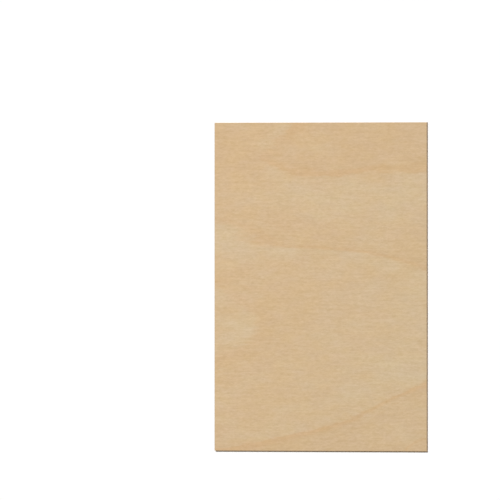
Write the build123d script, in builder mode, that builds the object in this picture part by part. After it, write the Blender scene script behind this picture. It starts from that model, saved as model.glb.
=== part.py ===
from build123d import *
import os

os.makedirs("parts", exist_ok=True)

# A sheet of birch plywood, cut to a hobby size and sanded, lying flat with its best face up.
# Millimetres, +Z up. The origin is the centre of the underside. +Y runs along the long side.
# +X runs along the short side, which is also the way the grain of both face veneers runs.

# Driving dimensions
sheet_width = 304.8  # along X, a 12 inch cut
sheet_length = 457.2  # along Y, an 18 inch cut
sheet_thickness = 6.0  # along Z, the five-ply board that is sold as a quarter inch
arris_radius = 0.3  # the sawn arrises and corners, just taken off with sandpaper

# The bonded plies are one board, sawn square on all four sides.
with BuildPart() as plywood_sheet:
    with BuildSketch(Plane.XY):
        Rectangle(sheet_width, sheet_length)
    extrude(amount=sheet_thickness)
    fillet(plywood_sheet.edges(), radius=arris_radius)

plywood_sheet.part.label = "plywood_sheet"
export_step(plywood_sheet.part, "parts/plywood_sheet.step")
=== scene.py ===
import math

import bmesh
import bpy
from mathutils import Matrix, Vector, noise


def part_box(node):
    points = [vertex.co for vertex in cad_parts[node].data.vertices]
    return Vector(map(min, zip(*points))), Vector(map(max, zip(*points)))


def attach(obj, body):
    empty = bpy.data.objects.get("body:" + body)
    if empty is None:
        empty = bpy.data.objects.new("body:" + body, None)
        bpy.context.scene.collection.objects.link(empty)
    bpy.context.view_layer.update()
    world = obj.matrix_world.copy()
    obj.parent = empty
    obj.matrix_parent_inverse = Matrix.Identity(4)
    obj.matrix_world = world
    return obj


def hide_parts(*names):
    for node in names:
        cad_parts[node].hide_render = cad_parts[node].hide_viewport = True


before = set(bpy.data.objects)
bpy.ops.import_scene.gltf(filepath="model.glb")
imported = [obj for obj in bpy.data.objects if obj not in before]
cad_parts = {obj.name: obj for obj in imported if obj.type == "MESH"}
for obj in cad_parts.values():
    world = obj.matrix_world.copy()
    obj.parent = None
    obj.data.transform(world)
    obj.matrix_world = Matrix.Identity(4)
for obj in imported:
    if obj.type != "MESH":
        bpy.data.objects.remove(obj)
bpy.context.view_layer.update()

# A sanded sheet of birch plywood, lying flat with its best face up. Metres, in the model's frame:
# +X runs along the grain of the face veneers, +Y along the long side and +Z through the plies.
MM = 0.001
LOW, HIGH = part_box("plywood_sheet")
WIDTH, LENGTH, THICKNESS = HIGH - LOW

# How the board is made up
PLIES = 5
INNER_PLY = 1.3 * MM
FACE_PLY = (THICKNESS - (PLIES - 2) * INNER_PLY) / 2  # the two outer plies, thinned by sanding
GLUE_LINE = 0.09 * MM
GLUE_GROOVE = 0.04 * MM  # how far the glue stands back from the sawn wood
GLUE_WANDER = 0.15 * MM  # how far a glue line strays up and down
WANDER_LENGTH = 45 * MM
CHECK_LEAN = math.radians(25)  # the slant of the fine cracks in the end grain
ARRIS_RADIUS = 0.3 * MM
ARRIS_SEGMENTS = 3
ARRIS_ANGLE = math.radians(60)  # an edge of the block that turns by more is an arris
EASED = 1.01 * ARRIS_RADIUS  # how far in from a face the easing reaches
FLAT = 0.98  # how far upright a normal is on the board's two faces
MESH_PITCH = 6 * MM
FACE_WEIGHT = 100  # so that the big faces shade flat, and only the arrises round

# The figure of a peeled veneer, in millimetres from the middle of the sheet. The knife cuts through
# growth rings, whose count rises with the slope, and by the height of each hill in the log. A hill
# fades with its reach along and across the grain. Where the knife ran flat along the rings, and
# where the wood is pale, is drawn by hills too. A pale patch below 0 is a warm one.
BEST_FACE = {
    "slope": (-0.0015, -0.0006),
    "hills": (
        {"centre": (-225, -45), "reach": (280, 155), "height": 1.35},
        {"centre": (160, -60), "reach": (400, 200), "height": 1.15},
        {"centre": (150, -240), "reach": (60, 60), "height": -0.80},
        {"centre": (-130, 50), "reach": (140, 30), "height": -0.40},
        {"centre": (-40, 160), "reach": (140, 55), "height": -0.40},
        {"centre": (-110, 20), "reach": (400, 25), "height": 0.15},
        {"centre": (-73, 179), "reach": (22, 9), "height": -0.06},
        {"centre": (-62, 224), "reach": (26, 18), "height": 0.05},
    ),
    "flat places": (
        {"centre": (-150, -50), "reach": (240, 75), "height": 0.80},
        {"centre": (40, 45), "reach": (300, 50), "height": 0.40},
        {"centre": (-60, 200), "reach": (50, 30), "height": 0.40},
        {"centre": (-145, 85), "reach": (50, 30), "height": 0.50},
    ),
    "pale patches": (
        {"centre": (60, 118), "reach": (150, 28), "height": 0.60},
        {"centre": (-125, 62), "reach": (45, 22), "height": 0.45},
        {"centre": (95, -110), "reach": (90, 45), "height": 0.35},
        {"centre": (-130, 190), "reach": (50, 50), "height": -0.45},
        {"centre": (70, -235), "reach": (160, 28), "height": -0.60},
    ),
}
BACK = {
    "slope": (0.0010, 0.0022),
    "hills": (
        {"centre": (60, 150), "reach": (230, 70), "height": 1.30},
        {"centre": (-140, -10), "reach": (170, 60), "height": -0.90},
        {"centre": (110, -120), "reach": (260, 90), "height": 1.10},
        {"centre": (-60, -210), "reach": (120, 40), "height": 0.70},
    ),
    "flat places": ({"centre": (60, 150), "reach": (200, 80), "height": 0.80},),
    "pale patches": ({"centre": (-70, -90), "reach": (150, 35), "height": 0.50},),
}
DEEP = 1000  # a hill's reach through the plies, so that it hardly fades in them

# Colours of bare birch, linear
PLAIN_WOOD = (0.615, 0.430, 0.242)
EARLY_WOOD = (0.617, 0.458, 0.275)  # just past a growth ring
LATE_WOOD = (0.602, 0.412, 0.225)  # before the next
RING_LINE = (0.600, 0.392, 0.202)  # the last dense wood of a ring
PORE_BROWN = (0.330, 0.200, 0.098)
LONG_GRAIN = (0.600, 0.430, 0.255)  # a ply that the saw cuts along its grain
END_GRAIN = (0.385, 0.272, 0.166)  # a ply that it cuts across
GLUE_BROWN = (0.120, 0.070, 0.038)
WHITE = (1, 1, 1)
FLOOR_WHITE = (0.95, 0.95, 0.95)

# Tints, which a colour is multiplied by
DARK_FIBRE = (0.887, 0.867, 0.793)
LIGHT_FIBRE = (1.113, 1.133, 1.207)
YELLOWED = (1.004, 1.000, 0.965)
BLEACHED = (0.996, 1.000, 1.035)
LIGHT_FALLOFF_TINT = (0.940, 0.970, 0.990)  # painted fall-off of the light: the face turns darker and greyer towards its near right corner

# Waves in sanded wood: their lengths in millimetres along the grain and across it, and how many
# octaves of finer waves they carry
FINE_FIBRES = (3.4, 0.7, 2)
HAIRS = (3.0, 0.13, 1)
SHORT_STREAKS = (5.5, 2.4, 2)
LONG_STREAKS = (40, 3.0, 2)
PORES = (3.2, 0.2, 1)
PITH_FLECKS = (18, 2.2, 1)
BLEACHING = (26, 14, 2)
CLOUDS = (46, 20, 2)
RING_WANDER = (80, 27, 1)
RING_RAGS = (20, 3.2, 2)
LINE_FADING = (150, 60, 0)

# The same on a sawn edge, along it and through the plies
VESSELS = (0.22, 0.2, 1)
END_RINGS = (16, 0.5, 1)
END_PATCHES = (14, 6, 2)
CHECKS = (2.2, 7, 0)
CHECK_GROUPS = (2.6, 1.1, 0)
SAW_MARKS = (0.9, 12, 1)

# Where in the noise they lie. It is about 0 and seldom swings further than SWING.
SWING = 0.2
PORE_EDGES = (0.12, 0.22)
PITH_EDGES = (0.25, 0.32)
CHECK_EDGE = 0.035

# How much each of them shows
FINE_TONE = 0.6
OTHER_TONES = ((LONG_STREAKS, 0.55), (SHORT_STREAKS, 0.85), (HAIRS, 0.8))
FACE_CONTRAST = 1.2
EDGE_CONTRAST = 2.0
PITH_SHARE = 0.5
PORE_DEPTH = 0.6
FLECK_SHARE = 0.22
BLEACHING_SHARE = 3
CLOUD_SHARE = 1.8
LONG_GRAIN_CLOUDS = 0.3
VESSEL_SHARE = 0.55
END_RING_SHARE = 0.45
END_PATCH_SHARE = 0.5
CHECK_SHARE = 0.35

# A growth ring, in shares of the wood from one ring line to the next
EARLY_COMES = (0, 0.03)
EARLY_GOES = (0.06, 0.45)
LATE_COMES = (0.64, 0.94)
LINE_COMES = (0.93, 0.975)
LINE_GOES = (0.985, 1)
LATE_BANDS = 22  # in a whole ring

# How much each part of a ring shows
WANDER_SHARE = 0.10
RAG_SHARE = 0.06
EARLY_SHARE = 0.8
EARLY_IF_STEEP = 0.35  # what is left of it where the knife cut steeply through the rings
LATE_SHARE = 0.6
BAND_SHARE = 5
END_IF_FLAT = 0.1  # what is left of the late wood and the line where it ran flat
LINE_IF_FAINT = 0.5
LINE_TAIL = 0.3

# A sawn edge
NEXT_PLY = (173, 31, 0)  # how far off the pattern of the next ply up starts, in millimetres
HALF_GLUE = GLUE_LINE / 2 / INNER_PLY
GLUE_FEATHER = (0.7 * HALF_GLUE, 1.5 * HALF_GLUE)
GLUE_COVER = 0.9

# Finish
WOOD_GLOSS = 0.3
FACE_ROUGHNESS = 0.6
EDGE_ROUGHNESS = 0.78
GLUE_SMOOTHNESS = 0.2
RELIEF_ROUGHNESS = 0.15
FACE_RELIEF = 0.03 * MM
EDGE_RELIEF = 0.05 * MM

# The best face in the photograph, in pixels of its 500 by 500 frame
PICTURE_SIDE = 500
FACE_LEFT = 214.45
FACE_RIGHT = 426.45
FACE_TOP = 122.50
FACE_BOTTOM = 450.95

# A lens so long that the sheet's opposite sides stay all but parallel, in millimetres
LENS = 1000
SENSOR = 36
SIGHT = 4  # how far the camera sees, in distances to the sheet

# A wide sun high above the sheet's far left corner, and a warm even sky that fills its shade. On
# level surfaces the two add up to white.
SHADE_RIGHT = 0.15 * MM  # how far the thickness of the sheet throws its shade
SHADE_NEAR = 1.9 * MM
LIGHT_LEVEL = 1.074
SKY_SHARE = 0.18
SKY_COLOR = (1.0, 0.82, 0.60)
SUN_WIDTH = math.radians(5)
FLOOR_SIDE = 80
FLOOR_DROP = 0.02 * MM  # keeps the floor out of the plane of the underside
FLOOR_ROUGHNESS = 0.9

# The texture's charts. The margin and the strip that an edge gets are shares of the map's side, and
# the charts' scales are shares of it for each metre of the board.
BAKE_MAP = "OFBake"
MAP_MARGIN = 0.006
EDGE_STRIP = 0.068
FACE_CHART = (1 - 2 * MAP_MARGIN) / LENGTH
BACK_CHART = 0.47 * FACE_CHART
EDGE_CHART = 0.5 * FACE_CHART


# Node trees
def feed(tree, socket, value):
    """Links a socket into another, or sets a plain value or colour on it."""
    if isinstance(value, bpy.types.NodeSocket):
        tree.links.new(value, socket)
    elif socket.type == "RGBA":
        socket.default_value = (*value, 1)
    else:
        socket.default_value = value


def maths(tree, operation, *values):
    """A Math node on those values."""
    node = tree.nodes.new("ShaderNodeMath")
    node.operation = operation
    for socket, value in zip(node.inputs, values):
        feed(tree, socket, value)
    return node.outputs["Value"]


def plus(tree, total, value, share):
    """A total with a share of a value added."""
    return maths(tree, "MULTIPLY_ADD", value, share, total)


def vector_maths(tree, operation, *values):
    """A Vector Math node on those values."""
    node = tree.nodes.new("ShaderNodeVectorMath")
    node.operation = operation
    for socket, value in zip(node.inputs, values):
        feed(tree, socket, value)
    return node.outputs["Value" if operation == "DOT_PRODUCT" else "Vector"]


def scaled(tree, vector, factor):
    """A vector or colour times a number."""
    node = tree.nodes.new("ShaderNodeVectorMath")
    node.operation = "SCALE"
    feed(tree, node.inputs["Vector"], vector)
    feed(tree, node.inputs["Scale"], factor)
    return node.outputs["Vector"]


def ramp(tree, value, start, end, low=0.0, high=1.0):
    """Goes smoothly from low to high while the value goes from start to end."""
    node = tree.nodes.new("ShaderNodeMapRange")
    node.interpolation_type = "SMOOTHSTEP"
    feed(tree, node.inputs["Value"], value)
    feed(tree, node.inputs["From Min"], start)
    feed(tree, node.inputs["From Max"], end)
    feed(tree, node.inputs["To Min"], low)
    feed(tree, node.inputs["To Max"], high)
    return node.outputs["Result"]


def mixed(tree, share, first, second, blend="MIX"):
    """A colour that goes from the first to the second as the share goes from 0 to 1."""
    node = tree.nodes.new("ShaderNodeMix")
    node.data_type = "RGBA"
    node.blend_type = blend
    sockets = {socket.identifier: socket for socket in (*node.inputs, *node.outputs)}
    feed(tree, sockets["Factor_Float"], share)
    feed(tree, sockets["A_Color"], first)
    feed(tree, sockets["B_Color"], second)
    return sockets["Result_Color"]


def streaks(tree, place, waves):
    """Noise about 0, drawn out along X into waves of that length, width and number of octaves."""
    along, across, octaves = waves
    stretched = vector_maths(tree, "DIVIDE", place, (along, across, across))
    node = tree.nodes.new("ShaderNodeTexNoise")
    node.inputs["Scale"].default_value = 1
    node.inputs["Detail"].default_value = octaves
    feed(tree, node.inputs["Vector"], stretched)
    return maths(tree, "SUBTRACT", node.outputs["Fac"], 0.5)


def bands(tree, value, count):
    """Noise about 0 that follows one value, with about that many waves in each whole step of it."""
    node = tree.nodes.new("ShaderNodeTexNoise")
    node.noise_dimensions = "1D"
    node.inputs["Scale"].default_value = count
    node.inputs["Detail"].default_value = 1
    feed(tree, node.inputs["W"], value)
    return maths(tree, "SUBTRACT", node.outputs["Fac"], 0.5)


def new_group(name, inputs, outputs):
    """An empty shader group, with its sockets given as names and kinds."""
    tree = bpy.data.node_groups.new(name, "ShaderNodeTree")
    for label, kind in inputs.items():
        tree.interface.new_socket(label, in_out="INPUT", socket_type="NodeSocket" + kind)
    for label, kind in outputs.items():
        tree.interface.new_socket(label, in_out="OUTPUT", socket_type="NodeSocket" + kind)
    given = tree.nodes.new("NodeGroupInput").outputs
    out = tree.nodes.new("NodeGroupOutput").inputs
    return tree, given, out


def placed(tree, group, values):
    """One use of a group, with its inputs fed by name."""
    node = tree.nodes.new("ShaderNodeGroup")
    node.node_tree = group
    for label, value in values.items():
        feed(tree, node.inputs[label], value)
    return node.outputs


# Effects that the materials share. A place is in millimetres, with the grain along X.
def hill_group():
    """What one rounded hill adds at a place."""
    tree, given, out = new_group(
        "Rounded hill",
        {"Place": "Vector", "Centre": "Vector", "Reach": "Vector", "Height": "Float"},
        {"Height": "Float"},
    )
    away = vector_maths(tree, "SUBTRACT", given["Place"], given["Centre"])
    share = vector_maths(tree, "DIVIDE", away, given["Reach"])
    squared = vector_maths(tree, "DOT_PRODUCT", share, share)
    fading = maths(tree, "EXPONENT", maths(tree, "MULTIPLY", squared, -1))
    feed(tree, out["Height"], maths(tree, "MULTIPLY", fading, given["Height"]))
    return tree


def fibres_group():
    """Birch fibres cut along the grain: a tint, soft clouds, dark flecks and relief."""
    tree, given, out = new_group(
        "Birch fibres",
        {"Place": "Vector", "Contrast": "Float"},
        {"Tint": "Color", "Cloud": "Float", "Flecks": "Float", "Relief": "Float"},
    )
    place = given["Place"]
    fine = streaks(tree, place, FINE_FIBRES)
    tone = maths(tree, "MULTIPLY", fine, FINE_TONE)
    for waves, share in OTHER_TONES:
        tone = plus(tree, tone, streaks(tree, place, waves), share)
    tint = mixed(tree, plus(tree, 0.5, tone, given["Contrast"]), DARK_FIBRE, LIGHT_FIBRE)
    bleached = plus(tree, 0.5, streaks(tree, place, BLEACHING), BLEACHING_SHARE)
    tint = mixed(tree, 1, tint, mixed(tree, bleached, YELLOWED, BLEACHED), "MULTIPLY")
    pores = ramp(tree, streaks(tree, place, PORES), *PORE_EDGES)
    pith = ramp(tree, streaks(tree, place, PITH_FLECKS), *PITH_EDGES)
    feed(tree, out["Tint"], tint)
    feed(tree, out["Cloud"], streaks(tree, place, CLOUDS))
    feed(tree, out["Flecks"], plus(tree, pores, pith, PITH_SHARE))
    feed(tree, out["Relief"], plus(tree, fine, pores, -PORE_DEPTH))
    return tree


def veneer_group(fibres):
    """A peeled birch veneer, where the knife has cut through so many growth rings."""
    tree, given, out = new_group(
        "Peeled veneer",
        {"Place": "Vector", "Rings": "Float", "Flat": "Float", "Pale": "Float"},
        {"Color": "Color", "Roughness": "Float", "Relief": "Float"},
    )
    place = given["Place"]
    flat = given["Flat"]
    fibre = placed(tree, fibres, {"Place": place, "Contrast": FACE_CONTRAST})
    # The cut through a ring wanders, and it is ragged along the grain.
    smooth = plus(tree, given["Rings"], streaks(tree, place, RING_WANDER), WANDER_SHARE)
    ragged = plus(tree, smooth, streaks(tree, place, RING_RAGS), RAG_SHARE)
    within = maths(tree, "FRACT", ragged)
    # Each ring starts pale, is plain for most of its width and ends warm, in faint bands and a line.
    # Where the knife ran flat along the rings, their starts are paler and their ends are faint.
    early = ramp(tree, within, *EARLY_GOES, EARLY_SHARE, 0)
    early = maths(tree, "MULTIPLY", early, ramp(tree, within, *EARLY_COMES))
    early = maths(tree, "MULTIPLY", early, plus(tree, EARLY_IF_STEEP, flat, 1 - EARLY_IF_STEEP))
    early = maths(tree, "ADD", early, given["Pale"])
    early = plus(tree, early, fibre["Cloud"], CLOUD_SHARE)
    clear = plus(tree, 1, flat, END_IF_FLAT - 1)
    late = maths(tree, "MULTIPLY", ramp(tree, within, *LATE_COMES, 0, LATE_SHARE), clear)
    late = maths(tree, "MULTIPLY", late, plus(tree, 1, bands(tree, smooth, LATE_BANDS), BAND_SHARE))
    late = maths(tree, "SUBTRACT", late, given["Pale"])
    late = plus(tree, late, fibre["Cloud"], -CLOUD_SHARE)
    faint = ramp(tree, streaks(tree, place, LINE_FADING), -SWING, SWING, LINE_IF_FAINT, 1)
    line = ramp(tree, within, *LINE_GOES, 1, LINE_TAIL)
    line = maths(tree, "MULTIPLY", line, ramp(tree, within, *LINE_COMES))
    line = maths(tree, "MULTIPLY", line, maths(tree, "MULTIPLY", faint, clear))
    color = mixed(tree, early, PLAIN_WOOD, EARLY_WOOD)
    color = mixed(tree, late, color, LATE_WOOD)
    color = mixed(tree, line, color, RING_LINE)
    color = mixed(tree, 1, color, fibre["Tint"], "MULTIPLY")
    flecks = maths(tree, "MULTIPLY", fibre["Flecks"], FLECK_SHARE)
    feed(tree, out["Color"], mixed(tree, flecks, color, PORE_BROWN))
    feed(tree, out["Roughness"], plus(tree, FACE_ROUGHNESS, fibre["Relief"], RELIEF_ROUGHNESS))
    feed(tree, out["Relief"], fibre["Relief"])
    return tree


def sawn_edge_group(fibres):
    """A sawn edge, X along it and Z through the plies, which lie crosswise on one another."""
    tree, given, out = new_group(
        "Sawn ply edge",
        {"Place": "Vector", "Ply": "Float", "Faces end on": "Float"},
        {"Color": "Color", "Roughness": "Float", "Relief": "Float"},
    )
    ply = given["Ply"]
    number = maths(tree, "FLOOR", ply)
    crossband = maths(tree, "MODULO", number, 2)
    end_on = maths(tree, "ABSOLUTE", maths(tree, "SUBTRACT", crossband, given["Faces end on"]))
    # Every ply is another piece of wood, so its pattern starts elsewhere.
    place = vector_maths(tree, "ADD", given["Place"], scaled(tree, NEXT_PLY, number))
    fibre = placed(tree, fibres, {"Place": place, "Contrast": EDGE_CONTRAST})
    # Long grain shows the fibres from the side.
    long_light = plus(tree, 1, fibre["Cloud"], LONG_GRAIN_CLOUDS)
    long_grain = mixed(tree, 1, scaled(tree, LONG_GRAIN, long_light), fibre["Tint"], "MULTIPLY")
    # End grain is darker, with vessels, rings and the slanting checks that the peeling knife leaves.
    vessels = streaks(tree, place, VESSELS)
    leaning = tree.nodes.new("ShaderNodeMapping")
    leaning.inputs["Rotation"].default_value = (0, CHECK_LEAN, 0)
    feed(tree, leaning.inputs["Vector"], place)
    crossing = maths(tree, "ABSOLUTE", streaks(tree, leaning.outputs["Vector"], CHECKS))
    checks = ramp(tree, crossing, 0, CHECK_EDGE, 1, 0)
    groups = ramp(tree, streaks(tree, place, CHECK_GROUPS), 0, SWING)
    end_light = plus(tree, 1, vessels, VESSEL_SHARE)
    end_light = plus(tree, end_light, streaks(tree, place, END_RINGS), END_RING_SHARE)
    end_light = plus(tree, end_light, streaks(tree, place, END_PATCHES), END_PATCH_SHARE)
    end_light = plus(tree, end_light, maths(tree, "MULTIPLY", checks, groups), -CHECK_SHARE)
    color = mixed(tree, end_on, long_grain, scaled(tree, END_GRAIN, end_light))
    from_glue = maths(tree, "PINGPONG", ply, 0.5)
    glue = ramp(tree, from_glue, *GLUE_FEATHER, GLUE_COVER, 0)
    feed(tree, out["Color"], mixed(tree, glue, color, GLUE_BROWN))
    feed(tree, out["Roughness"], plus(tree, EDGE_ROUGHNESS, glue, -GLUE_SMOOTHNESS))
    saw_marks = streaks(tree, given["Place"], SAW_MARKS)
    feed(tree, out["Relief"], plus(tree, saw_marks, vessels, end_on))
    return tree


# Materials
def new_material(name):
    """A wood material, its nodes, its shader's sockets and the place on the board in millimetres."""
    material = bpy.data.materials.new(name)
    material.use_nodes = True
    tree = material.node_tree
    shader = tree.nodes["Principled BSDF"].inputs
    shader["Specular IOR Level"].default_value = WOOD_GLOSS
    place = tree.nodes.new("ShaderNodeTexCoord").outputs["Object"]
    return material, tree, shader, scaled(tree, place, 1 / MM)


def finish_wood(tree, shader, wood, color, relief):
    """Feeds a group's finish into the shader, with its relief in metres."""
    feed(tree, shader["Base Color"], color)
    feed(tree, shader["Roughness"], wood["Roughness"])
    bump = tree.nodes.new("ShaderNodeBump")
    bump.inputs["Distance"].default_value = relief
    feed(tree, bump.inputs["Height"], wood["Relief"])
    feed(tree, shader["Normal"], bump.outputs["Normal"])


def add_hills(tree, total, hills, place, group):
    """A total with the height of every hill added at a place."""
    for hill in hills:
        values = {
            "Place": place,
            "Centre": (*hill["centre"], 0),
            "Reach": (*hill["reach"], DEEP),
            "Height": hill["height"],
        }
        total = maths(tree, "ADD", total, placed(tree, group, values)["Height"])
    return total


def face_material(name, figure, hill, veneer):
    """A sanded face, with the figure that its growth rings draw."""
    material, tree, shader, place = new_material(name)
    slope = vector_maths(tree, "DOT_PRODUCT", place, (*figure["slope"], 0))
    rings = add_hills(tree, slope, figure["hills"], place, hill)
    flat = add_hills(tree, 0.0, figure["flat places"], place, hill)
    pale = add_hills(tree, 0.0, figure["pale patches"], place, hill)
    wood = placed(tree, veneer, {"Place": place, "Rings": rings, "Flat": flat, "Pale": pale})
    # Painted fall-off of the light: the face is made darker and greyer towards its near right
    # corner.
    drift = vector_maths(tree, "DOT_PRODUCT", place, (MM / WIDTH, -MM / LENGTH, 0))
    painted_falloff = mixed(tree, ramp(tree, drift, -1, 1), WHITE, LIGHT_FALLOFF_TINT)
    color = mixed(tree, 1, wood["Color"], painted_falloff, "MULTIPLY")
    finish_wood(tree, shader, wood, color, FACE_RELIEF)
    return material


def edge_material(name, runs_along_y, sawn_edge):
    """A sawn edge. The face plies are cut across their grain where it runs along Y."""
    material, tree, shader, place = new_material(name)
    if runs_along_y:
        axes = tree.nodes.new("ShaderNodeSeparateXYZ")
        feed(tree, axes.inputs["Vector"], place)
        turned = tree.nodes.new("ShaderNodeCombineXYZ")
        feed(tree, turned.inputs["X"], axes.outputs["Y"])
        feed(tree, turned.inputs["Y"], axes.outputs["X"])
        feed(tree, turned.inputs["Z"], axes.outputs["Z"])
        place = turned.outputs["Vector"]
    ply = tree.nodes.new("ShaderNodeAttribute")
    ply.attribute_name = "ply"
    values = {"Place": place, "Ply": ply.outputs["Fac"], "Faces end on": float(runs_along_y)}
    wood = placed(tree, sawn_edge, values)
    finish_wood(tree, shader, wood, wood["Color"], EDGE_RELIEF)
    return material


# The board
def glue_line_heights():
    """The middle of each glue line above the underside."""
    return [FACE_PLY + i * INNER_PLY for i in range(PLIES - 1)]


def plies_below(height):
    """Counts the plies below a height, so that each glue line is at a whole number."""
    return 1 + (height - FACE_PLY) / INNER_PLY


def block_of_plies(bm):
    """A square-edged block whose sides are cut into a band for each ply and glue line."""
    middle = (LOW + HIGH) / 2
    at_underside = Matrix.Translation((middle.x, middle.y, LOW.z))
    bmesh.ops.create_grid(
        bm,
        x_segments=round(WIDTH / MESH_PITCH),
        y_segments=round(LENGTH / MESH_PITCH),
        size=0.5,
        matrix=at_underside @ Matrix.Diagonal((WIDTH, LENGTH, 1, 1)),
    )
    raised = bmesh.ops.extrude_face_region(bm, geom=bm.faces[:])["geom"]
    top = [part for part in raised if isinstance(part, bmesh.types.BMVert)]
    bmesh.ops.translate(bm, verts=top, vec=(0, 0, THICKNESS))
    for line in glue_line_heights():
        for step in (-GLUE_LINE / 2, 0, GLUE_LINE / 2):
            everything = bm.verts[:] + bm.edges[:] + bm.faces[:]
            at_cut = (0, 0, LOW.z + line + step)
            bmesh.ops.bisect_plane(bm, geom=everything, plane_co=at_cut, plane_no=(0, 0, 1))
    bmesh.ops.recalc_face_normals(bm, faces=bm.faces)


def ease_arrises(bm):
    """Rounds the twelve sawn arrises as sandpaper does."""
    arrises = [edge for edge in bm.edges if edge.calc_face_angle() > ARRIS_ANGLE]
    bmesh.ops.bevel(
        bm,
        geom=arrises,
        offset=ARRIS_RADIUS,
        segments=ARRIS_SEGMENTS,
        profile=0.5,
        affect="EDGES",
        material=-1,
    )


def work_glue_lines(bm):
    """Counts the plies up the sides, then lets the glue lines wander and sinks their middles."""
    ply = bm.verts.layers.float.new("ply")
    bm.normal_update()
    for vert in bm.verts:
        height = vert.co.z - LOW.z
        vert[ply] = plies_below(height)
        if not EASED < height < THICKNESS - EASED:
            continue
        line = round(vert[ply])
        in_the_middle = abs(height - glue_line_heights()[line - 1]) < GLUE_LINE / 4
        if in_the_middle:
            vert.co -= vert.normal * GLUE_GROOVE
        # Every glue line reads the noise elsewhere, so that each wanders in its own way.
        stray = noise.noise(Vector((vert.co.x, vert.co.y, line * LENGTH)) / WANDER_LENGTH)
        vert.co.z += GLUE_WANDER * stray


def side_of(face):
    """Which of the six sides a face belongs to. An arris belongs to the sawn edge beside it."""
    x, y, z = face.normal
    if abs(z) > FLAT:
        return "best face" if z > 0 else "back"
    if abs(x) > abs(y):
        return "right" if x > 0 else "left"
    return "far" if y > 0 else "near"


def chart(side):
    """Where a side lies on the texture: its two axes, its corner and its scale along each."""
    column = WIDTH * FACE_CHART + 2 * MAP_MARGIN
    if side == "best face":
        return 0, 1, (MAP_MARGIN, MAP_MARGIN), (FACE_CHART, FACE_CHART)
    if side == "back":
        return 0, 1, (column, MAP_MARGIN), (BACK_CHART, BACK_CHART)
    edges = ("right", "left", "far", "near")
    corner = (
        column + edges.index(side) * (EDGE_STRIP + MAP_MARGIN),
        LENGTH * BACK_CHART + 2 * MAP_MARGIN,
    )
    along = 1 if side in ("right", "left") else 0
    return 2, along, corner, (EDGE_STRIP / THICKNESS, EDGE_CHART)


def finish_sides(bm, slots):
    """Gives every face its side's material and its place on the texture."""
    layer = bm.loops.layers.uv.new(BAKE_MAP)
    for face in bm.faces:
        side = side_of(face)
        face.material_index = slots[side]
        face.smooth = True
        across, up, corner, scale = chart(side)
        for loop in face.loops:
            place = loop.vert.co - LOW
            loop[layer].uv = (corner[0] + place[across] * scale[0], corner[1] + place[up] * scale[1])


def make_sheet():
    """The whole board: one closed mesh, finished on all six sides."""
    fibres = fibres_group()
    hill = hill_group()
    veneer = veneer_group(fibres)
    sawn_edge = sawn_edge_group(fibres)
    materials = (
        face_material("Sanded birch, best face", BEST_FACE, hill, veneer),
        face_material("Sanded birch, back", BACK, hill, veneer),
        edge_material("Sawn long edge", True, sawn_edge),
        edge_material("Sawn short edge", False, sawn_edge),
    )
    slots = {"best face": 0, "back": 1, "right": 2, "left": 2, "far": 3, "near": 3}

    bm = bmesh.new()
    block_of_plies(bm)
    ease_arrises(bm)
    work_glue_lines(bm)
    finish_sides(bm, slots)
    mesh = bpy.data.meshes.new("birch_sheet")
    bm.to_mesh(mesh)
    bm.free()
    for material in materials:
        mesh.materials.append(material)
    sheet = bpy.data.objects.new("birch_sheet", mesh)
    bpy.context.scene.collection.objects.link(sheet)
    shading = sheet.modifiers.new("Flat faces, round arrises", "WEIGHTED_NORMAL")
    shading.weight = FACE_WEIGHT
    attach(sheet, "root")
    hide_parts("plywood_sheet")
    return sheet


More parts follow.
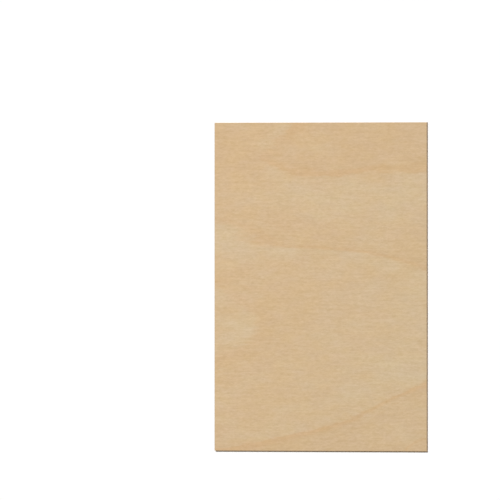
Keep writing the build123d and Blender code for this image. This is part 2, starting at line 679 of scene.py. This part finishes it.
# The studio
def make_floor():
    """A plain white floor, which isn't part of the object."""
    material = bpy.data.materials.new("White studio floor")
    material.use_nodes = True
    shader = material.node_tree.nodes["Principled BSDF"].inputs
    shader["Base Color"].default_value = (*FLOOR_WHITE, 1)
    shader["Roughness"].default_value = FLOOR_ROUGHNESS
    shader["Specular IOR Level"].default_value = 0.0
    bm = bmesh.new()
    at_floor = Matrix.Translation((0, 0, LOW.z - FLOOR_DROP))
    bmesh.ops.create_grid(bm, x_segments=1, y_segments=1, size=FLOOR_SIDE / 2, matrix=at_floor)
    mesh = bpy.data.meshes.new("studio_floor")
    bm.to_mesh(mesh)
    bm.free()
    mesh.materials.append(material)
    floor = bpy.data.objects.new("studio_floor", mesh)
    bpy.context.scene.collection.objects.link(floor)


def make_light():
    """A sun that throws the shade at the right and near edges, and the sky that softens it."""
    towards = Vector((-SHADE_RIGHT, SHADE_NEAR, THICKNESS)).normalized()
    lamp = bpy.data.lights.new("sun", "SUN")
    lamp.energy = math.pi * LIGHT_LEVEL / towards.z
    lamp.color = [1 - SKY_SHARE * part for part in SKY_COLOR]
    lamp.angle = SUN_WIDTH
    sun = bpy.data.objects.new("sun", lamp)
    sun.rotation_euler = towards.to_track_quat("Z", "Y").to_euler()
    bpy.context.scene.collection.objects.link(sun)
    sky = bpy.data.worlds.new("warm sky")
    sky.use_nodes = True
    background = sky.node_tree.nodes["Background"].inputs
    background["Color"].default_value = (*SKY_COLOR, 1)
    background["Strength"].default_value = LIGHT_LEVEL * SKY_SHARE
    bpy.context.scene.world = sky
    bpy.context.scene.view_settings.view_transform = "Standard"


def make_camera():
    """Looks down on the best face, from a little to its right, as the photograph does."""
    pixels_per_metre = (FACE_BOTTOM - FACE_TOP) / LENGTH
    turn = math.acos((FACE_RIGHT - FACE_LEFT) / (WIDTH * pixels_per_metre))
    right = Vector((math.cos(turn), 0, -math.sin(turn)))
    up = Vector((0, 1, 0))
    back = right.cross(up)
    face_centre = Vector(((LOW.x + HIGH.x) / 2, (LOW.y + HIGH.y) / 2, HIGH.z))
    off_right = (FACE_LEFT + FACE_RIGHT - PICTURE_SIDE) / 2 / pixels_per_metre
    off_up = (PICTURE_SIDE - FACE_TOP - FACE_BOTTOM) / 2 / pixels_per_metre
    distance = LENS / SENSOR * PICTURE_SIDE / pixels_per_metre
    lens = bpy.data.cameras.new("camera")
    lens.lens = LENS
    lens.sensor_width = SENSOR
    lens.clip_end = SIGHT * distance
    camera = bpy.data.objects.new("camera", lens)
    camera.matrix_world = Matrix((right, up, back)).transposed().to_4x4()
    camera.location = face_centre - right * off_right - up * off_up + back * distance
    bpy.context.scene.collection.objects.link(camera)
    bpy.context.scene.camera = camera


make_sheet()
make_floor()
make_light()
make_camera()
